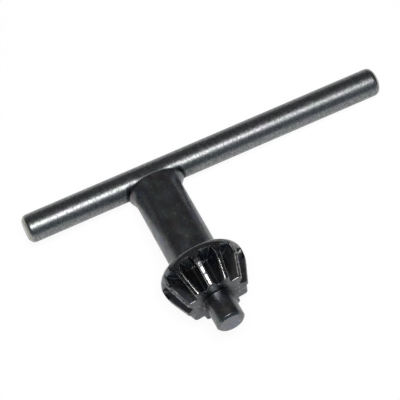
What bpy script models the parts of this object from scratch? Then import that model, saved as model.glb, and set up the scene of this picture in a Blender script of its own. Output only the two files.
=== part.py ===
"""Drill chuck key with a fixed T bar, lying on a bench as it comes to rest.

The key body is turned on one axis: collar, shank, bevel pinion and pilot. Distances along
that axis are measured from the bar's axis, which it meets at a right angle. The bar runs
along X and the pilot points to -Y. The bench touches the collar's rim, the back of the
pinion and the end of the bar's long arm, so the shank and the bar both slope a little.
"""
import math

import bmesh
import bpy
from mathutils import Matrix, Vector

MM = 0.001

# Bar: a straight drawn rod, held off its middle, with a chamfer at both ends.
BAR_RADIUS = 3.0 * MM
BAR_LONG_ARM = 52.4 * MM
BAR_SHORT_ARM = 27.6 * MM
BAR_CHAMFER_DEPTH = 0.8 * MM
BAR_CHAMFER_LENGTH = 1.4 * MM
BAR_EDGE_ROUND = 0.35 * MM

# Joint: the bar is seated in a saddle across the collar's end. The collar's lip was pressed
# out along the bar, so its radius is the one in that direction. Its skew is the share by
# which it stands out further on the long arm's side.
SEAT_CLEARANCE = 0.3 * MM
SEAT_DEPTH = 0.7 * MM
COLLAR_RADIUS = 6.15 * MM
COLLAR_SKEW = 0.25
COLLAR_RIM_WIDTH = 0.8 * MM
COLLAR_RIM_ROUND = 0.5 * MM
COLLAR_LENGTH = 2.3 * MM
COLLAR_FLARE_ROUND = 3.0 * MM

# Shank and pinion.
SHANK_RADIUS = 5.15 * MM
PINION_BACK = 23.2 * MM
PINION_LENGTH = 8.9 * MM
PINION_RADIUS = 8.87 * MM
PINION_FRONT_RADIUS = 6.69 * MM
PINION_FRONT_ROUND = 0.22 * MM
SHOULDER_ROUND = 1.85 * MM
SHOULDER_ROOT_ROUND = 0.35 * MM
CROWN_LENGTH = 3.2 * MM

# Teeth: straight V spaces that open at the front face and stop short of the shoulder.
TOOTH_COUNT = 12
TOOTH_TURN = math.radians(10.4)
CREST_WIDTH = 0.95 * MM
SPACE_END = 0.2 * MM
SPACE_END_WIDTH = 2.2 * MM
SPACE_END_TAPER = 2.0 * MM
SPACE_END_TAPER_POWER = 1.5
SPACE_ROOT_WIDTH = 0.3 * MM
SPACE_ROOT_START = 1.25 * MM
SPACE_DEPTH_BACK = 3.25 * MM
SPACE_DEPTH_FRONT = 1.3 * MM
SPACE_OVERRUN = 0.6 * MM

# Pilot: the plain pin that centres the key in the chuck.
PILOT_RADIUS = 3.0 * MM
PILOT_LENGTH = 6.0 * MM
PILOT_CHAMFER = 0.45 * MM
PILOT_EDGE_ROUND = 0.12 * MM
PILOT_ROOT_ROUND = 0.2 * MM

# Fineness of the turned shapes.
BAR_SIDES = 64
BODY_SIDES_PER_TOOTH = 8
SPACE_END_STEPS = 3
ARC_STEP = 0.4 * MM
LEAST_STEP = 0.01 * MM

# Places on the body's axis that follow from the sizes above.
BODY_END = BAR_RADIUS - SEAT_DEPTH
CROWN_START = PINION_BACK + SHOULDER_ROUND
CROWN_CORNER = CROWN_START + CROWN_LENGTH / 2
PINION_FRONT = PINION_BACK + PINION_LENGTH
PILOT_TIP = PINION_FRONT + PILOT_LENGTH
CONE_SLOPE = (PINION_RADIUS - PINION_FRONT_RADIUS) / (PINION_FRONT - CROWN_CORNER)

# Turned meshes are made along +Z, and these turns lay them along their own direction.
TO_BAR = Matrix.Rotation(math.pi / 2, 4, "Y")
TO_BODY = Matrix.Rotation(math.pi / 2, 4, "X")


def rounded_outline(corners):
    """Outline through (along, radius, rounding) corners, each rounding as a tangent arc.

    Where two roundings overlap on the leg between them, both shrink to share it.
    """
    points = [Vector(corner[:2]) for corner in corners]
    turns = [0.0] * len(corners)
    reaches = [0.0] * len(corners)
    for k in range(1, len(corners) - 1):
        turns[k] = (points[k] - points[k - 1]).angle(points[k + 1] - points[k])
        reaches[k] = corners[k][2] * math.tan(turns[k] / 2)
    for k in range(1, len(corners)):
        leg = (points[k] - points[k - 1]).length
        share = min(1.0, leg / max(reaches[k - 1] + reaches[k], LEAST_STEP))
        reaches[k - 1] *= share
        reaches[k] *= share

    outline = [points[0]]
    for k in range(1, len(corners) - 1):
        here, turn, reach = points[k], turns[k], reaches[k]
        if reach < LEAST_STEP:
            outline.append(here)
            continue
        back = (points[k - 1] - here).normalized()
        ahead = (points[k + 1] - here).normalized()
        radius = reach / math.tan(turn / 2)
        centre = here + (back + ahead).normalized() * math.hypot(reach, radius)
        start = here + back * reach - centre
        end = here + ahead * reach - centre
        steps = max(2, round(radius * turn / ARC_STEP))
        for step in range(steps + 1):
            swing = turn * step / steps
            arm = start * math.sin(turn - swing) + end * math.sin(swing)
            outline.append(centre + arm / math.sin(turn))
    outline.append(points[-1])
    return without_repeats(outline)


def without_repeats(outline):
    """The outline's points, leaving out each that lies on the one before it."""
    kept = outline[:1]
    for point in outline[1:]:
        if (point - kept[-1]).length > LEAST_STEP:
            kept.append(point)
    return kept


def full_round(along, angle):
    """The share of the outline's radius that a plainly turned piece keeps all round."""
    return 1.0


def pressed_round(along, angle):
    """The share of the outline's radius that the body keeps at an angle from the long arm.

    The collar's lip fades to the shank's radius over the top and the bottom.
    """
    flare = (BODY_END + COLLAR_LENGTH - along) / (COLLAR_LENGTH - COLLAR_RIM_WIDTH)
    full = SHANK_RADIUS + (COLLAR_RADIUS - SHANK_RADIUS) * min(1.0, max(0.0, flare))
    least = SHANK_RADIUS / full
    cosine = math.cos(angle)
    return least + (1 - least) * cosine**2 * (1 + COLLAR_SKEW * cosine)


def turned_mesh(name, outline, sides, lay, share=full_round):
    """Closed mesh of an outline that starts and ends on the axis, turned about +Z and laid."""
    mesh = bmesh.new()
    foot = mesh.verts.new((0, 0, outline[0].x))
    rings = []
    for point in outline[1:-1]:
        ring = []
        for k in range(sides):
            angle = 2 * math.pi * k / sides
            radius = point.y * share(point.x, angle)
            ring.append(mesh.verts.new((radius * math.cos(angle), radius * math.sin(angle), point.x)))
        rings.append(ring)
    head = mesh.verts.new((0, 0, outline[-1].x))
    for k in range(sides):
        after = (k + 1) % sides
        mesh.faces.new((foot, rings[0][after], rings[0][k]))
        for low, high in zip(rings, rings[1:]):
            mesh.faces.new((low[k], low[after], high[after], high[k]))
        mesh.faces.new((head, rings[-1][k], rings[-1][after]))
    bmesh.ops.transform(mesh, matrix=lay, verts=mesh.verts)
    return finished_mesh(name, mesh)


def finished_mesh(name, mesh):
    """Mesh data from a bmesh, its faces pointing out, smooth except at real edges."""
    bmesh.ops.recalc_face_normals(mesh, faces=mesh.faces)
    data = bpy.data.meshes.new(name)
    mesh.to_mesh(data)
    mesh.free()
    data.shade_smooth()
    data.set_sharp_from_angle(angle=math.radians(30))
    return data


def steel(name, colour, roughness):
    """Blackened steel: a dark metal of the given tint and gloss."""
    material = bpy.data.materials.new(name)
    material.use_nodes = True
    surface = material.node_tree.nodes["Principled BSDF"]
    surface.inputs["Base Color"].default_value = (*colour, 1.0)
    surface.inputs["Metallic"].default_value = 1.0
    surface.inputs["Roughness"].default_value = roughness
    return material


def placed(name, data, parent, material=None):
    """An object for the mesh, at the bar's axis, in the parent's frame."""
    piece = bpy.data.objects.new(name, data)
    piece.parent = parent
    if material:
        data.materials.append(material)
    bpy.context.scene.collection.objects.link(piece)
    return piece


def cut_away(piece, cutter):
    """Takes the cutter's shape out of the piece and keeps the cutter out of sight."""
    cutter.hide_render = True
    cutter.display_type = "WIRE"
    cut = piece.modifiers.new(cutter.name, "BOOLEAN")
    cut.operation = "DIFFERENCE"
    cut.solver = "EXACT"
    cut.object = cutter


def bar_outline():
    """The rod from its short end to its long end, chamfered at both."""
    low = -BAR_SHORT_ARM
    high = BAR_LONG_ARM
    end_radius = BAR_RADIUS - BAR_CHAMFER_DEPTH
    corners = [
        (low, 0, 0),
        (low, end_radius, BAR_EDGE_ROUND),
        (low + BAR_CHAMFER_LENGTH, BAR_RADIUS, BAR_EDGE_ROUND),
        (high - BAR_CHAMFER_LENGTH, BAR_RADIUS, BAR_EDGE_ROUND),
        (high, end_radius, BAR_EDGE_ROUND),
        (high, 0, 0),
    ]
    return rounded_outline(corners)


def body_outline():
    """Collar, shank, pinion blank and pilot, from the bar to the pilot's tip."""
    crown_turn = math.atan(CONE_SLOPE)
    crown_round = CROWN_LENGTH / 2 / math.tan(crown_turn / 2)
    corners = [
        (BODY_END, 0, 0),
        (BODY_END, COLLAR_RADIUS, COLLAR_RIM_ROUND),
        (BODY_END + COLLAR_RIM_WIDTH, COLLAR_RADIUS, COLLAR_RIM_ROUND),
        (BODY_END + COLLAR_LENGTH, SHANK_RADIUS, COLLAR_FLARE_ROUND),
        (PINION_BACK, SHANK_RADIUS, SHOULDER_ROOT_ROUND),
        (PINION_BACK, PINION_RADIUS, SHOULDER_ROUND),
        (CROWN_CORNER, PINION_RADIUS, crown_round),
        (PINION_FRONT, PINION_FRONT_RADIUS, PINION_FRONT_ROUND),
        (PINION_FRONT, PILOT_RADIUS, PILOT_ROOT_ROUND),
        (PILOT_TIP - PILOT_CHAMFER, PILOT_RADIUS, PILOT_EDGE_ROUND),
        (PILOT_TIP, PILOT_RADIUS - PILOT_CHAMFER, PILOT_EDGE_ROUND),
        (PILOT_TIP, 0, 0),
    ]
    return rounded_outline(corners)


def rest_angles(outline):
    """How far the shank's axis rises to the pilot, and how far the long arm sinks, at rest.

    The bench line under the body's lowest outline touches the collar and the pinion. The bar
    tips about the shank until the full round at the end of its long arm touches the bench too.
    """
    outline = [Vector((p.x, p.y * pressed_round(p.x, math.pi / 2))) for p in outline]
    collar = [point for point in outline if point.x < PINION_BACK / 2]
    pinion = [point for point in outline if point.x > PINION_BACK / 2]
    rise = min(max(math.atan2(p.y - c.y, p.x - c.x) for p in pinion) for c in collar)
    height = max(point.y * math.cos(rise) - point.x * math.sin(rise) for point in outline)
    round_end = Vector((BAR_LONG_ARM - BAR_CHAMFER_LENGTH, BAR_RADIUS))
    sink = math.asin(height / round_end.length) - math.atan2(round_end.y, round_end.x)
    return rise, sink


def crest_radius(along):
    """Radius of the straight cone that the tooth crests lie on."""
    return PINION_FRONT_RADIUS + (PINION_FRONT - along) * CONE_SLOPE


def crest_corner(along):
    """Where a flank meets the blank's surface, as (along, sideways, outwards).

    The crests widen to the back, so that the space closes in to its width at the end wall.
    """
    end = CROWN_START + SPACE_END
    half_pitch = math.pi / TOOTH_COUNT
    widening = PINION_RADIUS * half_pitch - (CREST_WIDTH + SPACE_END_WIDTH) / 2
    taper = max(0.0, end + SPACE_END_TAPER - along) / SPACE_END_TAPER
    half_crest = CREST_WIDTH / 2 + widening * taper**SPACE_END_TAPER_POWER
    radius = min(PINION_RADIUS, crest_radius(along))
    angle = half_pitch - half_crest / radius
    return Vector((along, radius * math.sin(angle), radius * math.cos(angle)))


def space_corners():
    """Corners (along, sideways, outwards) of the wedge that clears one tooth space.

    Two flanks lean out from a narrow root, and a steep end wall closes the back. The corners
    on the blank's surface are pushed on outwards in the planes of those faces.
    """
    start = CROWN_START + SPACE_ROOT_START
    stop = PINION_FRONT + SPACE_OVERRUN
    end = CROWN_START + SPACE_END
    depth_slope = (SPACE_DEPTH_BACK - SPACE_DEPTH_FRONT) / (PINION_FRONT - start)

    def root_corner(along):
        depth = SPACE_DEPTH_FRONT + (PINION_FRONT - along) * depth_slope
        return Vector((along, SPACE_ROOT_WIDTH / 2, crest_radius(along) - depth))

    corners = [root_corner(start), root_corner(stop)]
    places = [end + SPACE_END_TAPER * k / SPACE_END_STEPS for k in range(SPACE_END_STEPS + 1)]
    for along in places + [stop]:
        high = crest_corner(along)
        way = (high - root_corner(max(along, start))).normalized()
        corners.append(high + way * SPACE_OVERRUN / 2)
    corners += [Vector((c.x, -c.y, c.z)) for c in corners]
    roof = PINION_RADIUS + SPACE_OVERRUN
    return corners + [Vector((end, 0, roof)), Vector((stop, 0, roof))]


def tooth_space_mesh():
    """The wedges of all tooth spaces, each the hull of its corners, turned about the axis."""
    mesh = bmesh.new()
    for k in range(TOOTH_COUNT):
        angle = TOOTH_TURN + (k + 0.5) * 2 * math.pi / TOOTH_COUNT
        out = Vector((math.cos(angle), math.sin(angle), 0))
        side = Vector((-math.sin(angle), math.cos(angle), 0))
        verts = []
        for corner in space_corners():
            place = Vector((0, 0, corner.x)) + side * corner.y + out * corner.z
            verts.append(mesh.verts.new(place))
        hull = bmesh.ops.convex_hull(mesh, input=verts)
        bmesh.ops.delete(mesh, geom=hull["geom_unused"], context="VERTS")
    bmesh.ops.transform(mesh, matrix=TO_BODY, verts=mesh.verts)
    return finished_mesh("tooth_spaces", mesh)


def saddle_mesh():
    """The round seat for the bar, a clearance larger than the bar and wider than the collar."""
    reach = COLLAR_RADIUS + BAR_RADIUS
    radius = BAR_RADIUS + SEAT_CLEARANCE
    outline = [Vector((-reach, 0)), Vector((-reach, radius)), Vector((reach, radius)), Vector((reach, 0))]
    return turned_mesh("bar_saddle", outline, BAR_SIDES, TO_BAR)


def build_key():
    """Both pieces of the key at rest, centred over the origin with the bench at Z = 0."""
    outline = body_outline()
    bar_mesh = turned_mesh("t_bar", bar_outline(), BAR_SIDES, TO_BAR)
    body_sides = BODY_SIDES_PER_TOOTH * TOOTH_COUNT
    body_mesh = turned_mesh("key_body", outline, body_sides, TO_BODY, pressed_round)

    rest = bpy.data.objects.new("key_at_rest", None)
    bpy.context.scene.collection.objects.link(rest)
    rise, sink = rest_angles(outline)
    rest.rotation_euler = (-math.asin(math.sin(rise) / math.cos(sink)), sink, 0)
    turn = rest.rotation_euler.to_matrix()
    places = [turn @ vertex.co for data in (bar_mesh, body_mesh) for vertex in data.vertices]
    low = [min(place[axis] for place in places) for axis in range(3)]
    high = [max(place[axis] for place in places) for axis in range(3)]
    rest.location = (-(low[0] + high[0]) / 2, -(low[1] + high[1]) / 2, -low[2])

    placed("t_bar", bar_mesh, rest, steel("dark_drawn_steel", (0.10, 0.10, 0.11), 0.3))
    body = placed("key_body", body_mesh, rest, steel("black_oxide_steel", (0.035, 0.035, 0.04), 0.25))
    for mesh in (tooth_space_mesh(), saddle_mesh()):
        cut_away(body, placed(mesh.name, mesh, rest))


def main():
    for old in list(bpy.data.objects):
        bpy.data.objects.remove(old, do_unlink=True)
    build_key()


main()
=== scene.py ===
"""The looks of a drill chuck key: a drawn bar seated on a turned body with a bevel pinion.

Both pieces are worked out in the key's own frame, in millimetres. Its origin is where the
bar's axis meets the body's axis, +X runs along the bar's long arm and -Y along the shank
to the pilot. The key is then laid as it rests on the bench, in metres.
"""

import bpy
import numpy as np
from mathutils import Matrix


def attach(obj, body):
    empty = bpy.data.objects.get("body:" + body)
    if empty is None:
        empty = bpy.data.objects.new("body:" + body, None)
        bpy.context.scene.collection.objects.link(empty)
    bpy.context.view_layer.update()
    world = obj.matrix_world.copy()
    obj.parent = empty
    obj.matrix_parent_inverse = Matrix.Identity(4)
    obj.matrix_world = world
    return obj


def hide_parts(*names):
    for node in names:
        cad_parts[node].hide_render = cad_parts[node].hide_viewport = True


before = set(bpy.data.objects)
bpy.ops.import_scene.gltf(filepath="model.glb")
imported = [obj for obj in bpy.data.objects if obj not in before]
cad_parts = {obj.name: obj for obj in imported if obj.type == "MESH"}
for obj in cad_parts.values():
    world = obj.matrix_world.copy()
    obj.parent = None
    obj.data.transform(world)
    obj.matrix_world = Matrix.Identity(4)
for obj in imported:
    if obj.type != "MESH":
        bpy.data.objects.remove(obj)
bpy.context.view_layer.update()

MM = 0.001

# Bar, in millimetres. Arms run from the body's axis.
BAR_RADIUS = 3.0
BAR_LONG_ARM = 52.4
BAR_SHORT_ARM = 27.6
BAR_CHAMFER_LENGTH = 1.4

# The bar's chamfer as it is rolled over: distances from the end, radii and roundings.
BAR_END = ((0.0, 0.0, 0.0), (0.0, 2.1, 0.4), (0.48, 2.76, 0.5), (1.07, BAR_RADIUS, 1.6))

# Collar: its lip was pressed out along the bar, so its radius is the one in that direction.
# The skew is the share by which it stands out further on the long arm's side.
SEAT_CLEARANCE = 0.02
SEAT_DEPTH = 0.7
COLLAR_RADIUS = 6.15
COLLAR_SKEW = 0.25
COLLAR_RIM_WIDTH = 0.8
COLLAR_RIM_ROUND = 0.5
COLLAR_LENGTH = 2.3
COLLAR_FLARE_ROUND = 3.0

# Shank and pinion. PINION_BACK is measured from the bar's axis.
SHANK_RADIUS = 5.15
PINION_BACK = 23.2
PINION_LENGTH = 8.9
PINION_RADIUS = 8.87
PINION_FRONT_RADIUS = 6.69
PINION_FRONT_ROUND = 0.22
SHOULDER_ROUND = 1.85
SHOULDER_ROOT_ROUND = 0.35
CROWN_LENGTH = 3.2

# Teeth: straight V spaces that open at the front face. Their end and the start of their root
# are measured from the crown's start, and their depths from the cone of the crests.
TOOTH_COUNT = 12
TOOTH_TURN = np.radians(10.4)
CREST_WIDTH = 0.95
CREST_EDGE_ROUND = 0.45
SPACE_END = 0.2
SPACE_END_WIDTH = 2.2
SPACE_END_ROUND = 0.12
SPACE_END_TAPER = 2.0
SPACE_END_TAPER_POWER = 1.5
SPACE_ROOT_WIDTH = 0.3
SPACE_ROOT_START = 1.25
SPACE_ROOT_ROUND = 0.2
SPACE_CREASE_ROUND = 0.3
SPACE_DEPTH_BACK = 3.25
SPACE_DEPTH_FRONT = 1.3

# Pilot: the plain pin that centres the key in the chuck.
PILOT_RADIUS = 3.0
PILOT_LENGTH = 6.0
PILOT_CHAMFER = 0.45
PILOT_EDGE_ROUND = 0.12
PILOT_ROOT_ROUND = 0.2

# Places on the body's axis that follow from the sizes above. Nothing is cut before CUT_START.
BODY_END = BAR_RADIUS - SEAT_DEPTH
COLLAR_END = BODY_END + COLLAR_LENGTH
SHANK_MIDDLE = PINION_BACK / 2
CROWN_START = PINION_BACK + SHOULDER_ROUND
CROWN_CORNER = CROWN_START + CROWN_LENGTH / 2
CUT_START = CROWN_START - 0.5
SPACE_WIDEST = CROWN_START + SPACE_END + SPACE_END_TAPER
PINION_FRONT = PINION_BACK + PINION_LENGTH
FACE_EDGE = PINION_FRONT - PINION_FRONT_ROUND
PILOT_TIP = PINION_FRONT + PILOT_LENGTH
CONE_SLOPE = (PINION_RADIUS - PINION_FRONT_RADIUS) / (PINION_FRONT - CROWN_CORNER)
HALF_PITCH = np.pi / TOOTH_COUNT

# How fine the surfaces are. Of the columns in half a tooth space, the first few lie on its
# floor, the next ones on its flank and the last ones, close together, round the crest's edge:
# the shares are of the angle from the space's middle to that edge.
BAR_SIDES = 192
ARC_STEP = 0.12
FEWEST_ARC_POINTS = 5
LEAST_STEP = 1e-4
STRAIGHT_STEP = 1.2
TOOTH_STEP = 0.16
SPACE_END_STEP = 0.04
COLUMN_NUMBERS = (0, 3, 9, 17)
COLUMN_SHARES = (0, 0.12, 0.9, 1.08)

# Gloss, how much the bar's highlight is smeared, and the depth of the tool marks in
# millimetres.
BAR_ROUGHNESS = 0.43
BAR_ROUGHNESS_SPREAD = 0.1
BAR_END_ROUGHNESS = 0.25
BAR_SMEAR = 0.6
BAR_RING_DEPTH = 0.008
SHANK_ROUGHNESS = 0.33
PINION_ROUGHNESS = 0.22
FACE_ROUGHNESS = 0.35
PILOT_ROUGHNESS = 0.3
BODY_ROUGHNESS_SPREAD = 0.07
BODY_RING_DEPTH = 0.006

# Reach of the wear from the crests' edges, and of painted shade from the edges of the spaces'
# ends, which dulls their glints. The shade grows towards the body's two sides, between these
# cosines of the angle from the bar.
WEAR_REACH = 0.08
GLINT_SHADE_REACH = 0.3
GLINT_SHADE_SIDES = (4 / 7, 5 / 7)

# Patterns: noise, by its marks to a millimetre along X, Y and Z.
BAR_RINGS = (3.6, 0.45, 0.45)
BAR_GRAIN = (3.4, 2.2, 2.2)
BAR_TINTS = (0.22, 0.3, 0.3)
BODY_RINGS = (0.5, 3.2, 0.5)
BODY_PATCHES = (0.6, 0.4, 0.6)
BODY_TINTS = (0.7, 0.5, 0.7)
BLUE_TINTS = (0.45, 0.35, 0.5)
LIGHT_FLECKS = (1.6, 1.6, 1.6)
DARK_PITS = (1.5, 1.5, 1.5)

# The noise values at which a mark starts and is whole, in the usual range of the noise.
NOISE_RANGE = (0.3, 0.7)
BAR_TINT_EDGE = (0.35, 0.65)
DARK_GRAIN_EDGE = (0.62, 0.36)
LIGHT_GRAIN_EDGE = (0.55, 0.75)
BODY_TINT_EDGE = (0.38, 0.62)
BLUE_EDGE = (0.48, 0.66)
FLECK_EDGE = (0.6, 0.75)
PIT_EDGE = (0.54, 0.58)

# Where finishes change, in millimetres. Each change starts at the first distance and is done
# at the second. On the bar the distances run from its nearer end.
RINGS_START = (0.6, 1.3)
BARE_STEEL = (0.8, 0.4)

# On the body they run along the axis from the border named in the comment.
ON_PINION = (-0.3, 0.1)  # the pinion's back
ON_CROWN = (0.5, 1.0)  # the crown's start
ON_FACE = (-0.12, -0.02)  # the pinion's front
ON_PILOT = (0.05, 0.3)  # the pinion's front
ON_LIP = (1.1, 0.55)  # the body's end

# Across it they are depths below the crests, and distances out from the pilot.
CREST_DEPTH = (0.35, 0.2)
# Where the painted shade in the front face's corner round the pilot starts and is whole.
SHADED_CORNER = (1.6, 0.3)

# Dark weld scale round the weld, with painted shade where the bar and the collar meet: on the
# bar outside the collar's lip and over the collar's top, and on the lip's two sides.
# WELD_SCALE_AND_SHADE is in half widths of the lip, the Y pairs are places on the bar, and the
# width and the sides are distances from the body's middle along the bar.
SCALE_AND_SHADE_COLOUR = "35393c"
WELD_SCALE_AND_SHADE = (1.11, 1.055)
WELD_SCALE_AND_SHADE_Y = (-1.2, -1.8)
TOP_SCALE_AND_SHADE = 0.8
TOP_SCALE_AND_SHADE_WIDTH = (3.8, 2.6)
TOP_SCALE_AND_SHADE_Y = (-0.2, -0.8)
LIP_SCALE_AND_SHADE_SIDES = (2.0, 4.5)

# Lamp over the bench, in metres, and the dim room's linear colours: the front's colour is whole
# where the Y of a direction reaches ROOM_FRONT_Y.
LAMP_PLACE = (-0.05, -0.142, 0.609)
LAMP_SIZE = (0.30, 0.22)
LAMP_RADIANCE = 20.5
LAMP_COLOUR = (1.0, 0.985, 0.955)
ROOM_BACK = (0.115, 0.115, 0.12, 1.0)
ROOM_FRONT = (0.14, 0.18, 0.22, 1.0)
ROOM_FRONT_Y = -0.8
WHITE = (1.0, 1.0, 1.0, 1.0)

# Paper on the bench: half its width in metres, and how much of it the camera sees burnt out.
BENCH_HALF = 1.5
BENCH_GLOW = 0.92

# Camera, fitted to the photograph, in millimetres in the bench's frame. FAR_CLIP is in metres.
VIEW_TARGET = np.array((-5.181, 8.625, 3.977))
VIEW_AZIMUTH = np.radians(-24.567)
VIEW_ELEVATION = np.radians(66.823)
VIEW_ROLL = np.radians(-1.453)
VIEW_DISTANCE = 350.5
LENS = 154.78
SENSOR_WIDTH = 36
FAR_CLIP = 10


def unit(vector):
    return vector / np.linalg.norm(vector)


def rounded_outline(corners):
    """Outline through (along, radius, rounding) corners: each rounding is the arc tangent to
    both legs, and two that overlap on a leg shrink to share it."""
    points = np.array([corner[:2] for corner in corners], float)
    legs = np.diff(points, axis=0)
    lengths = np.linalg.norm(legs, axis=1)
    ways = legs / lengths[:, None]
    turns = np.zeros(len(corners))
    turns[1:-1] = np.arccos(np.clip((ways[:-1] * ways[1:]).sum(1), -1, 1))
    reaches = np.array([corner[2] for corner in corners]) * np.tan(turns / 2)
    for k, length in enumerate(lengths):
        share = min(1.0, length / max(reaches[k] + reaches[k + 1], LEAST_STEP))
        reaches[k : k + 2] *= share

    outline = [points[0]]
    for k in range(1, len(corners) - 1):
        here, turn, reach = points[k], turns[k], reaches[k]
        if reach < LEAST_STEP:
            outline.append(here)
            continue
        back, ahead = -ways[k - 1], ways[k]
        radius = reach / np.tan(turn / 2)
        centre = here + unit(back + ahead) * np.hypot(reach, radius)
        start, end = here + back * reach - centre, here + ahead * reach - centre
        count = max(FEWEST_ARC_POINTS, round(radius * turn / ARC_STEP))
        swing = np.linspace(0, turn, count)[:, None]
        arc = centre + (start * np.sin(turn - swing) + end * np.sin(swing)) / np.sin(turn)
        outline.extend(arc)
    outline.append(points[-1])
    outline = np.array(outline)
    gaps = np.linalg.norm(np.diff(outline, axis=0), axis=1)
    return outline[np.r_[True, gaps > LEAST_STEP]]


def filled_in(outline, step):
    """The outline with evenly spaced points added so that none is further than step along."""
    pieces = []
    for start, end in zip(outline, outline[1:]):
        count = int(np.ceil(np.linalg.norm(end - start) / step))
        share = np.arange(count)[:, None] / count
        pieces.append(start + (end - start) * share)
    return np.vstack(pieces + [outline[-1:]])


def smooth_max(a, b, blend):
    """The larger of two heights, with the crease between them filled over the blend."""
    overlap = np.maximum(blend - np.abs(a - b), 0) / blend
    return np.maximum(a, b) + overlap**2 * blend / 4


def fading(distance, reach):
    """1 at a line or place, falling off softly over the reach on both sides of it."""
    return np.exp(-((distance / reach) ** 2))


def bar_outline():
    """The rod from its short end to its long end, rolled over at both."""
    short = [(along - BAR_SHORT_ARM, radius, rounding) for along, radius, rounding in BAR_END]
    long = [(BAR_LONG_ARM - along, radius, rounding) for along, radius, rounding in BAR_END]
    return rounded_outline(short + long[::-1])


def body_outline():
    """Collar, shank, pinion blank and pilot, from the bar to the pilot's tip."""
    crown_round = CROWN_LENGTH / 2 / np.tan(np.arctan(CONE_SLOPE) / 2)
    corners = [
        (BODY_END, 0, 0),
        (BODY_END, COLLAR_RADIUS, COLLAR_RIM_ROUND),
        (BODY_END + COLLAR_RIM_WIDTH, COLLAR_RADIUS, COLLAR_RIM_ROUND),
        (COLLAR_END, SHANK_RADIUS, COLLAR_FLARE_ROUND),
        (PINION_BACK, SHANK_RADIUS, SHOULDER_ROOT_ROUND),
        (PINION_BACK, PINION_RADIUS, SHOULDER_ROUND),
        (CROWN_CORNER, PINION_RADIUS, crown_round),
        (PINION_FRONT, PINION_FRONT_RADIUS, PINION_FRONT_ROUND),
        (PINION_FRONT, PILOT_RADIUS, PILOT_ROOT_ROUND),
        (PILOT_TIP - PILOT_CHAMFER, PILOT_RADIUS, PILOT_EDGE_ROUND),
        (PILOT_TIP, PILOT_RADIUS - PILOT_CHAMFER, PILOT_EDGE_ROUND),
        (PILOT_TIP, 0, 0),
    ]
    return rounded_outline(corners)


def pressed_round(along, cosine, radius=0.0):
    """The share of the outline's radius that the body keeps at an angle from the long arm, given
    by its cosine. The collar's lip fades to the shank's radius over the top and the bottom.
    With the outline's radius, its fillet into the shank fades as well."""
    flare = (COLLAR_END - along) / (COLLAR_LENGTH - COLLAR_RIM_WIDTH)
    full = SHANK_RADIUS + (COLLAR_RADIUS - SHANK_RADIUS) * np.clip(flare, 0, 1)
    full = np.where(along < SHANK_MIDDLE, np.maximum(full, radius), full)
    least = SHANK_RADIUS / full
    return least + (1 - least) * cosine**2 * (1 + COLLAR_SKEW * cosine)


def resting_turn():
    """Rotation that lays the key's own frame on the bench.

    The bench line under the body's lowest outline touches the collar and the pinion, which gives
    the shank's rise. The bar then tips until its long arm touches the bench as well.
    """
    along, radius = body_outline().T
    radius = radius * pressed_round(along, 0.0)
    collar = along < SHANK_MIDDLE
    higher = radius[~collar] - radius[collar][:, None]
    further = along[~collar] - along[collar][:, None]
    rise = np.arctan2(higher, further).max(axis=1).min()
    height = (radius * np.cos(rise) - along * np.sin(rise)).max()
    reach = BAR_LONG_ARM - BAR_CHAMFER_LENGTH
    sink = np.arcsin(height / np.hypot(reach, BAR_RADIUS)) - np.arctan2(BAR_RADIUS, reach)
    lean = -np.arcsin(np.sin(rise) / np.cos(sink))
    turn = Matrix.Rotation(sink, 4, "Y") @ Matrix.Rotation(lean, 4, "X")
    return np.array(turn)[:3, :3]


def end_taper(along):
    """How far a place lies in the stretch where a tooth space closes in: 1 at its back end."""
    return np.clip((SPACE_WIDEST - along) / SPACE_END_TAPER, 0, 1)


def space_half_turn(along, blank):
    """Half the angle that a tooth space takes up on the blank's surface."""
    narrowing = PINION_RADIUS * HALF_PITCH - (CREST_WIDTH + SPACE_END_WIDTH) / 2
    crest = CREST_WIDTH / 2 + narrowing * end_taper(along) ** SPACE_END_TAPER_POWER
    return HALF_PITCH - crest / blank


def tooth_spaces(along, angle, blank):
    """Radius of the tooth spaces' faces at a place along the axis and an angle from a space's
    middle.

    A section across the axis shows straight faces, o = a + c * sideways with o outwards from
    the axis, so at angle v a face's radius is a / (cos v - c * sin v). The space is the
    highest of its floor, its flanks and its end wall, blended at the creases.
    """
    start = CROWN_START + SPACE_ROOT_START
    end = CROWN_START + SPACE_END
    half_root = SPACE_ROOT_WIDTH / 2
    sine, cosine = np.sin(np.abs(angle)), np.cos(angle)

    root_back = PINION_FRONT_RADIUS + (PINION_FRONT - start) * CONE_SLOPE - SPACE_DEPTH_BACK
    root_front = PINION_FRONT_RADIUS - SPACE_DEPTH_FRONT
    backwards = (PINION_FRONT - along) / (PINION_FRONT - start)
    root = root_front + (root_back - root_front) * backwards

    crest_turn = space_half_turn(along, blank)
    lean = (blank * np.cos(crest_turn) - root) / (blank * np.sin(crest_turn) - half_root)
    flank = (root - lean * half_root) / (cosine - lean * sine)
    down_wall = (along - end) / (start - end)
    wall = (PINION_RADIUS - (PINION_RADIUS - root_back) * down_wall) / cosine

    space = smooth_max(root / cosine, flank, SPACE_ROOT_ROUND)
    return smooth_max(space, wall, SPACE_CREASE_ROUND)


def skin_faces(rows, sides):
    """Faces, by their points' numbers, over a grid whose first and last rows are single poles."""
    ring = np.arange(sides)
    after = (ring + 1) % sides
    first = 1 + np.arange(rows - 3)[:, None] * sides
    next_row = first + sides
    quads = np.stack([first + ring, first + after, next_row + after, next_row + ring], -1)
    last = 1 + (rows - 2) * sides
    foot = np.stack([np.zeros(sides, int), 1 + after, 1 + ring], -1)
    head = np.stack([np.full(sides, last), last - sides + ring, last - sides + after], -1)
    return foot.tolist() + quads.reshape(-1, 4).tolist() + head.tolist()


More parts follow.
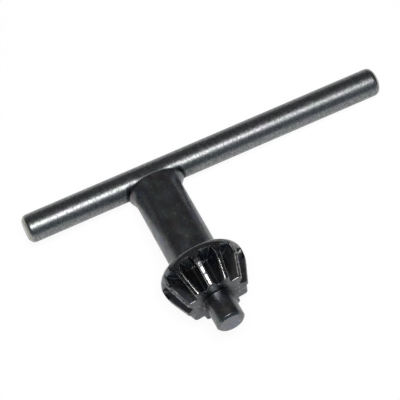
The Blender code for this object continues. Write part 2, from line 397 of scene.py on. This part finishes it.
def surface(name, places, lay, material, node, wear_and_shade=None):
    """A closed skin over a grid of places, laid on the bench. It replaces a node of the solids.

    Rows run along the axis and columns round it. The place of each point in the key's own
    frame is kept as an attribute, and so are the rubbed edges and the painted shade, if any.
    """
    points = np.vstack([places[0, :1], places[1:-1].reshape(-1, 3), places[-1, :1]])
    turn, shift = lay
    mesh = bpy.data.meshes.new(name)
    laid = (points @ turn.T + shift) * MM
    mesh.from_pydata(laid.tolist(), [], skin_faces(*places.shape[:2]))
    mesh.shade_smooth()
    own = mesh.attributes.new("key_mm", "FLOAT_VECTOR", "POINT")
    own.data.foreach_set("vector", points.ravel())
    if wear_and_shade is not None:
        wear_and_shade_layer = mesh.attributes.new("wear_and_shade", "FLOAT", "POINT")
        wear_and_shade_layer.data.foreach_set("value", np.r_[wear_and_shade[0, 0], wear_and_shade[1:-1].ravel(), wear_and_shade[-1, 0]])
    mesh.materials.append(material)
    piece = bpy.data.objects.new(name, mesh)
    bpy.context.scene.collection.objects.link(piece)
    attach(piece, "root")
    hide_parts(node)


def bar_places():
    """The bar: its outline turned about +X."""
    along, radius = filled_in(bar_outline(), STRAIGHT_STEP).T[..., None]
    angle = np.linspace(0, 2 * np.pi, BAR_SIDES, endpoint=False)
    places = np.empty((len(along), BAR_SIDES, 3))
    places[..., 0] = along
    places[..., 1] = radius * np.cos(angle)
    places[..., 2] = radius * np.sin(angle)
    return places


def body_rows():
    """The body's outline with its rows as close together as each stretch needs."""
    outline = body_outline()
    borders = (CROWN_START, SPACE_WIDEST, FACE_EDGE)
    first, middle, last = np.searchsorted(outline[:, 0], borders)
    rows = [
        filled_in(outline[: first + 1], STRAIGHT_STEP)[:-1],
        filled_in(outline[first : middle + 1], SPACE_END_STEP)[:-1],
        filled_in(outline[middle : last + 1], TOOTH_STEP)[:-1],
        filled_in(outline[last:], STRAIGHT_STEP / 2),
    ]
    return np.vstack(rows)


def body_columns(crest_turn):
    """Angles round the body, and each one's angle from the middle of its own tooth space. They
    follow the half angle that the spaces take up in each row."""
    numbers = np.arange(COLUMN_NUMBERS[-1] + 1)
    half = crest_turn * np.interp(numbers, COLUMN_NUMBERS, COLUMN_SHARES)
    half = np.hstack([half, (half[:, -1:] + HALF_PITCH) / 2])
    tooth = np.hstack([-half[:, :0:-1], half, np.full((len(half), 1), HALF_PITCH)])
    middles = TOOTH_TURN + (np.arange(TOOTH_COUNT) + 0.5) * 2 * HALF_PITCH
    from_middle = np.tile(tooth, TOOTH_COUNT)
    return from_middle + np.repeat(middles, tooth.shape[1]), from_middle


def body_places():
    """The body: its outline turned about -Y, less the tooth spaces and the bar's saddle, and
    how far each place is rubbed bare or darkened by painted shade.

    In the toothed length the radius is the lower of the blank and the spaces. The front
    face's rows shrink with the toothed edge that they end at, and the end face is pushed in
    to where the bar lies across it.
    """
    along, radius = body_rows().T[..., None]
    place = np.minimum(along, PINION_FRONT)
    blank = np.clip(radius, PINION_FRONT_RADIUS, PINION_RADIUS)
    crest_turn = space_half_turn(place, blank)
    angle, from_middle = body_columns(crest_turn)

    # The blank less the spaces, as far as the front face's edge, and the face's rows after it.
    edge_round = CREST_EDGE_ROUND + (SPACE_END_ROUND - CREST_EDGE_ROUND) * end_taper(place)
    cut = -smooth_max(-radius, -tooth_spaces(place, from_middle, blank), edge_round)
    cut = np.where(place > CUT_START, cut, radius)
    edge_row = np.searchsorted(along[:, 0], FACE_EDGE)
    edge = cut[edge_row]
    inner = PILOT_RADIUS + PILOT_ROOT_ROUND
    share = np.clip((radius - inner) / (radius[edge_row] - inner), 0, None)
    face = inner + (edge - inner) * share
    behind_face = (np.arange(len(along)) <= edge_row)[:, None]
    on_face = ~behind_face & (radius > inner)
    cut = np.where(behind_face, cut, np.where(on_face, face, radius))
    cut = cut * pressed_round(along, np.cos(angle), radius)

    places = np.empty(angle.shape + (3,))
    places[..., 0] = cut * np.cos(angle)
    places[..., 2] = cut * np.sin(angle)
    saddle = np.sqrt(np.maximum((BAR_RADIUS + SEAT_CLEARANCE) ** 2 - places[..., 2] ** 2, 0))
    places[..., 1] = -np.where(along < COLLAR_END, np.maximum(along, saddle), along)

    # Wear along the crests' edges and across their front ends, fading down the front face.
    from_side = (np.abs(from_middle) - crest_turn) * blank
    front_wear = fading(np.where(on_face, edge - cut, PINION_FRONT - along), WEAR_REACH)
    side_wear = fading(from_side, WEAR_REACH) * np.where(on_face, front_wear, 1)
    wear_and_shade = np.maximum(side_wear, front_wear * (from_side > 0))
    wear_and_shade = np.where((along > SPACE_WIDEST) & (behind_face | on_face), wear_and_shade, 0)

    # Below zero it stands for painted shade that dulls the glints at the spaces' ends on the
    # body's two sides.
    at_sides = np.interp(np.abs(np.cos(angle)), GLINT_SHADE_SIDES, (0, 1))
    runs_out = (along > CUT_START) & (along <= SPACE_WIDEST)
    wear_and_shade = np.where(runs_out, -fading(from_side, GLINT_SHADE_REACH) * at_sides, wear_and_shade)
    return places, wear_and_shade


def linear(code):
    """An sRGB hex colour as linear red, green, blue and a full alpha."""
    value = np.array([int(code[k : k + 2], 16) for k in (0, 2, 4)]) / 255
    value = np.where(value <= 0.04045, value / 12.92, ((value + 0.055) / 1.055) ** 2.4)
    return (*value.tolist(), 1.0)


def add(tree, kind, links=(), **settings):
    """Adds a node. Settings name its properties or its input sockets, and links give the
    sources of its inputs."""
    node = tree.nodes.new(kind)
    for name, value in settings.items():
        if hasattr(node, name):
            setattr(node, name, value)
        else:
            node.inputs[name.replace("_", " ")].default_value = value
    for target, source in dict(links).items():
        tree.links.new(source, node.inputs[target])
    return node


def joined(tree, node, sources):
    """Feeds sockets, given by their place in the list, with a constant or another output."""
    for socket, source in sources:
        if isinstance(source, bpy.types.NodeSocket):
            tree.links.new(source, node.inputs[socket])
        else:
            node.inputs[socket].default_value = source
    return node


def new_material(name):
    material = bpy.data.materials.new(name)
    material.use_nodes = True
    material.node_tree.nodes.clear()
    return material, material.node_tree


def attribute(tree, name, output):
    return add(tree, "ShaderNodeAttribute", attribute_name=name).outputs[output]


def parts_of(tree, vector):
    """The outputs X, Y and Z of a vector."""
    return add(tree, "ShaderNodeSeparateXYZ", {0: vector}).outputs


def combined(tree, operation, *values):
    """The sum, product or other combination of values, each a number or a socket."""
    node = add(tree, "ShaderNodeMath", operation=operation)
    return joined(tree, node, enumerate(values)).outputs[0]


def combined_vectors(tree, operation, *vectors):
    """The same for vectors, each three numbers or a socket."""
    node = add(tree, "ShaderNodeVectorMath", operation=operation)
    return joined(tree, node, enumerate(vectors)).outputs["Vector"]


def length_of(tree, vector):
    return add(tree, "ShaderNodeVectorMath", {0: vector}, operation="LENGTH").outputs["Value"]


def ramp(tree, value, start, end, low=0.0, high=1.0):
    """Goes from low to high while the value goes from start to end."""
    settings = {"From_Min": start, "From_Max": end, "To_Min": low, "To_Max": high}
    return add(tree, "ShaderNodeMapRange", {"Value": value}, **settings).outputs[0]


def beyond(tree, value, border, change):
    """Goes from 0 to 1 between the change's two distances past the border."""
    return ramp(tree, value, border + change[0], border + change[1])


def noise(tree, place, marks, detail=2.0):
    """Soft random values about 0.5, with this many marks to a millimetre in each direction."""
    links = {"Vector": combined_vectors(tree, "MULTIPLY", place, marks)}
    return add(tree, "ShaderNodeTexNoise", links, Scale=1.0, Detail=detail).outputs[0]


def uneven(tree, rough, pattern, spread):
    """A roughness that goes down and up by the spread with the pattern."""
    return combined(tree, "ADD", rough, ramp(tree, pattern, *NOISE_RANGE, -spread, spread))


def mixed(tree, share, first, second):
    """The first value turning into the second as the share goes from 0 to 1."""
    node = add(tree, "ShaderNodeMix", {0: share}, data_type="FLOAT")
    return joined(tree, node, ((2, first), (3, second))).outputs[0]


def mixed_colour(tree, share, first, second):
    """The first colour turning into the second as the share goes from 0 to 1."""
    node = add(tree, "ShaderNodeMix", {0: share}, data_type="RGBA")
    return joined(tree, node, ((6, first), (7, second))).outputs[2]


def mixed_shader(tree, share, first, second):
    """The first shader turning into the second as the share, a number or a socket, rises."""
    node = add(tree, "ShaderNodeMixShader")
    return joined(tree, node, ((0, share), (1, first), (2, second))).outputs[0]


def weld_scale_and_shade_on_bar(tree, place, axes):
    """Mask of the dark weld oxide, with painted shade, outside the collar's lip and over its top.

    A place's length is 1 at the lip once it is measured in the lip's own half widths, from
    the lip's middle, which its skew sets towards the long arm.
    """
    half_widths = (1 / COLLAR_RADIUS, 0, 1 / SHANK_RADIUS)
    shift = (COLLAR_SKEW * (SHANK_RADIUS / COLLAR_RADIUS - 1), 0, 0)
    reach = length_of(tree, combined_vectors(tree, "MULTIPLY_ADD", place, half_widths, shift))
    outside = ramp(tree, reach, *WELD_SCALE_AND_SHADE)
    outside = combined(tree, "MULTIPLY", outside, ramp(tree, axes["Y"], *WELD_SCALE_AND_SHADE_Y))
    sideways = combined(tree, "ABSOLUTE", axes["X"])
    top = ramp(tree, sideways, *TOP_SCALE_AND_SHADE_WIDTH, high=TOP_SCALE_AND_SHADE)
    top = combined(tree, "MULTIPLY", top, ramp(tree, axes["Y"], *TOP_SCALE_AND_SHADE_Y))
    return combined(tree, "MAXIMUM", outside, top)


def drawn_bar_steel(axis):
    """Blackened rod with rings left by grinding, which smear the highlight along the bar."""
    material, tree = new_material("ground_dark_steel_bar")
    place = attribute(tree, "key_mm", "Vector")
    axes = parts_of(tree, place)
    rings = noise(tree, place, BAR_RINGS, detail=3.0)
    bump = add(tree, "ShaderNodeBump", {"Height": rings}, Distance=BAR_RING_DEPTH * MM)
    rough = uneven(tree, BAR_ROUGHNESS, rings, BAR_ROUGHNESS_SPREAD)

    # Light and dark grains under a millimetre wide, and tints over longer stretches.
    grain = noise(tree, place, BAR_GRAIN, detail=3.0)
    tint = ramp(tree, noise(tree, place, BAR_TINTS), *BAR_TINT_EDGE)
    dark_grain = ramp(tree, grain, *DARK_GRAIN_EDGE)
    light_grain = ramp(tree, grain, *LIGHT_GRAIN_EDGE)
    colour = mixed_colour(tree, tint, linear("8a8991"), linear("848b89"))
    colour = mixed_colour(tree, dark_grain, colour, linear("6a6c6e"))
    colour = mixed_colour(tree, light_grain, colour, linear("959492"))
    # Dark weld scale with painted shade where the bar meets the collar.
    scale_and_shade = weld_scale_and_shade_on_bar(tree, place, axes)
    colour = mixed_colour(tree, scale_and_shade, colour, linear(SCALE_AND_SHADE_COLOUR))

    # The rings end at the rolled ends, which are smooth and nearly bare.
    from_short_end = combined(tree, "ADD", axes["X"], BAR_SHORT_ARM)
    from_long_end = combined(tree, "SUBTRACT", BAR_LONG_ARM, axes["X"])
    from_end = combined(tree, "MINIMUM", from_short_end, from_long_end)
    ringed = ramp(tree, from_end, *RINGS_START)
    smear = combined(tree, "MULTIPLY", ringed, BAR_SMEAR)
    rough = mixed(tree, ringed, BAR_END_ROUGHNESS, rough)
    colour = mixed_colour(tree, ramp(tree, from_end, *BARE_STEEL), colour, linear("949590"))

    # The highlight is smeared along the bar, so the shader needs its direction in the world.
    turned = add(
        tree,
        "ShaderNodeVectorTransform",
        vector_type="VECTOR",
        convert_from="OBJECT",
        convert_to="WORLD",
    )
    links = {
        "Base Color": colour,
        "Roughness": rough,
        "Anisotropic": smear,
        "Tangent": joined(tree, turned, ((0, axis),)).outputs[0],
        "Normal": bump.outputs["Normal"],
    }
    shader = add(tree, "ShaderNodeBsdfPrincipled", links, Metallic=1.0)
    add(tree, "ShaderNodeOutputMaterial", {"Surface": shader.outputs["BSDF"]})
    return material


def black_oxide_steel():
    """Black oxide over turned steel: satin on the collar and shank, glossier on the teeth,
    mottled with faint tints, bare and bright where the teeth rub, and with painted shade round
    the pilot, at the tooth spaces' ends and at the weld."""
    material, tree = new_material("black_oxide_steel")
    place = attribute(tree, "key_mm", "Vector")
    wear_and_shade = attribute(tree, "wear_and_shade", "Fac")
    axes = parts_of(tree, place)
    along = combined(tree, "MULTIPLY", axes["Y"], -1.0)
    radius = length_of(tree, combined_vectors(tree, "MULTIPLY", place, (1, 0, 1)))
    on_pinion = beyond(tree, along, PINION_BACK, ON_PINION)
    on_face = beyond(tree, along, PINION_FRONT, ON_FACE)
    on_pilot = beyond(tree, along, PINION_FRONT, ON_PILOT)

    # Satin and gloss by region, uneven by a few hundredths.
    rough = mixed(tree, on_pinion, SHANK_ROUGHNESS, PINION_ROUGHNESS)
    rough = mixed(tree, on_face, rough, FACE_ROUGHNESS)
    rough = mixed(tree, on_pilot, rough, PILOT_ROUGHNESS)
    patches = noise(tree, place, BODY_PATCHES, detail=3.0)
    rough = uneven(tree, rough, patches, BODY_ROUGHNESS_SPREAD)

    # Tints of the oxide: violet and green patches over a millimetre wide, and blue ones.
    violet_green = ramp(tree, noise(tree, place, BODY_TINTS), *BODY_TINT_EDGE)
    blue = ramp(tree, noise(tree, place, BLUE_TINTS), *BLUE_EDGE)
    colour = mixed_colour(tree, violet_green, linear("645f62"), linear("6b7170"))
    colour = mixed_colour(tree, blue, colour, linear("656976"))

    # The front face is dull, with painted shade that is darkest in the corner round the pilot.
    face = combined(tree, "SUBTRACT", on_face, on_pilot)
    corner = beyond(tree, radius, PILOT_RADIUS, SHADED_CORNER)
    dull_face_and_shade = mixed_colour(tree, corner, linear("535558"), linear("2b2a30"))
    colour = mixed_colour(tree, face, colour, dull_face_and_shade)

    # Dark weld scale with painted shade on the lip at both sides, where it meets the bar.
    sideways = combined(tree, "ABSOLUTE", axes["X"])
    scale_and_shade = beyond(tree, along, BODY_END, ON_LIP)
    scale_and_shade = combined(tree, "MULTIPLY", scale_and_shade, ramp(tree, sideways, *LIP_SCALE_AND_SHADE_SIDES))
    colour = mixed_colour(tree, scale_and_shade, colour, linear(SCALE_AND_SHADE_COLOUR))

    # A few light flecks where the oxide is thin, and dark pits on the crests.
    flecks = ramp(tree, noise(tree, place, LIGHT_FLECKS, detail=3.0), *FLECK_EDGE)
    colour = mixed_colour(tree, flecks, colour, linear("9a9a99"))
    cone = ramp(tree, along, CROWN_CORNER, PINION_FRONT, PINION_RADIUS, PINION_FRONT_RADIUS)
    on_crest = ramp(tree, combined(tree, "SUBTRACT", cone, radius), *CREST_DEPTH)
    on_crown = beyond(tree, along, CROWN_START, ON_CROWN)
    on_crest = combined(tree, "MULTIPLY", on_crest, on_crown)
    pits = ramp(tree, noise(tree, place, DARK_PITS, detail=1.0), *PIT_EDGE)
    pits = combined(tree, "MULTIPLY", pits, on_crest)
    colour = mixed_colour(tree, pits, colour, linear("2c2d30"))

    # Bare steel where the teeth rub, and painted shade on glints where the value is below zero.
    colour = mixed_colour(tree, wear_and_shade, colour, linear("c2c1bd"))
    colour = mixed_colour(tree, ramp(tree, wear_and_shade, 0.0, -1.0), colour, linear("232527"))

    # Turning rings, which break up the reflections.
    rings = noise(tree, place, BODY_RINGS)
    bump = add(tree, "ShaderNodeBump", {"Height": rings}, Distance=BODY_RING_DEPTH * MM)
    links = {"Base Color": colour, "Roughness": rough, "Normal": bump.outputs["Normal"]}
    shader = add(tree, "ShaderNodeBsdfPrincipled", links, Metallic=1.0)
    add(tree, "ShaderNodeOutputMaterial", {"Surface": shader.outputs["BSDF"]})
    return material


def bench():
    """A sheet of white paper. The camera sees it overexposed, so only the deepest of the
    key's shadow shows, while the steel mirrors it as the lamp really lights it."""
    material, tree = new_material("white_paper")
    to_camera = add(tree, "ShaderNodeLightPath").outputs["Is Camera Ray"]
    paper = add(tree, "ShaderNodeBsdfDiffuse", Color=linear("f4f4f4")).outputs[0]
    glow = add(tree, "ShaderNodeEmission", Strength=1.0).outputs[0]
    overexposed = mixed_shader(tree, BENCH_GLOW, paper, glow)
    both = mixed_shader(tree, to_camera, paper, overexposed)
    add(tree, "ShaderNodeOutputMaterial", {"Surface": both})

    signs = ((-1, -1), (1, -1), (1, 1), (-1, 1))
    corners = [(x * BENCH_HALF, y * BENCH_HALF, 0) for x, y in signs]
    mesh = bpy.data.meshes.new("bench")
    mesh.from_pydata(corners, [], [(0, 1, 2, 3)])
    mesh.materials.append(material)
    floor = bpy.data.objects.new("bench", mesh)
    bpy.context.scene.collection.objects.link(floor)


def direction(azimuth, elevation):
    """Unit vector at an azimuth from -Y towards +X and an elevation."""
    flat = np.cos(elevation)
    return np.array((np.sin(azimuth) * flat, -np.cos(azimuth) * flat, np.sin(elevation)))


def placed(name, data, right, up, back, place):
    """A lamp or camera at a place in metres, with the directions of its own three axes."""
    pose = np.eye(4)
    pose[:3, 0], pose[:3, 1], pose[:3, 2], pose[:3, 3] = right, up, back, place
    thing = bpy.data.objects.new(name, data)
    thing.matrix_world = Matrix(pose.tolist())
    bpy.context.scene.collection.objects.link(thing)
    return thing


def soft_box():
    """The lamp over the bench. It faces the origin, its long side along X, and its power
    follows from the brightness that its face shows."""
    data = bpy.data.lights.new("soft_box", "AREA")
    data.shape = "RECTANGLE"
    data.size, data.size_y = LAMP_SIZE
    data.energy = LAMP_RADIANCE * np.pi * data.size * data.size_y
    data.color = LAMP_COLOUR
    back = unit(np.array(LAMP_PLACE))
    up = unit(np.cross(back, (1, 0, 0)))
    placed("soft_box", data, np.cross(up, back), up, back, LAMP_PLACE)


def surroundings():
    """A dim room above the bench, paler and bluer in front, white where the camera sees it."""
    world = bpy.data.worlds.new("studio")
    bpy.context.scene.world = world
    world.use_nodes = True
    tree = world.node_tree
    tree.nodes.clear()
    to_camera = add(tree, "ShaderNodeLightPath").outputs["Is Camera Ray"]
    backwards = parts_of(tree, add(tree, "ShaderNodeTexCoord").outputs["Generated"])["Y"]
    wall = mixed_colour(tree, ramp(tree, backwards, 0, ROOM_FRONT_Y), ROOM_BACK, ROOM_FRONT)
    room = add(tree, "ShaderNodeBackground", {"Color": wall}, Strength=1.0).outputs[0]
    white = add(tree, "ShaderNodeBackground", Color=WHITE, Strength=1.0).outputs[0]
    both = mixed_shader(tree, to_camera, room, white)
    add(tree, "ShaderNodeOutputWorld", {"Surface": both})


def camera():
    """The camera at the photograph's angle, rolled about its own line of sight."""
    data = bpy.data.cameras.new("camera")
    data.lens = LENS
    data.sensor_width = SENSOR_WIDTH
    data.clip_end = FAR_CLIP
    back = direction(VIEW_AZIMUTH, VIEW_ELEVATION)
    right = unit(np.cross((0, 0, 1), back))
    up = np.cross(back, right)
    rolled_right = right * np.cos(VIEW_ROLL) + up * np.sin(VIEW_ROLL)
    rolled_up = up * np.cos(VIEW_ROLL) - right * np.sin(VIEW_ROLL)
    place = (VIEW_TARGET + back * VIEW_DISTANCE) * MM
    bpy.context.scene.camera = placed("camera", data, rolled_right, rolled_up, back, place)


def main():
    """The key at rest, centred over the origin with the bench at Z = 0, and what is round it."""
    turn = resting_turn()
    bar = bar_places()
    body, wear_and_shade = body_places()
    turned = np.vstack([bar.reshape(-1, 3), body.reshape(-1, 3)]) @ turn.T
    low, high = turned.min(axis=0), turned.max(axis=0)
    middle = (low + high) / 2
    lay = (turn, np.array((-middle[0], -middle[1], -low[2])))
    surface("drawn_t_bar", bar, lay, drawn_bar_steel(turn[:, 0]), "t_bar")
    surface("toothed_key_body", body, lay, black_oxide_steel(), "key_body", wear_and_shade)

    bench()
    surroundings()
    soft_box()
    camera()
    bpy.context.scene.view_settings.view_transform = "Standard"


main()
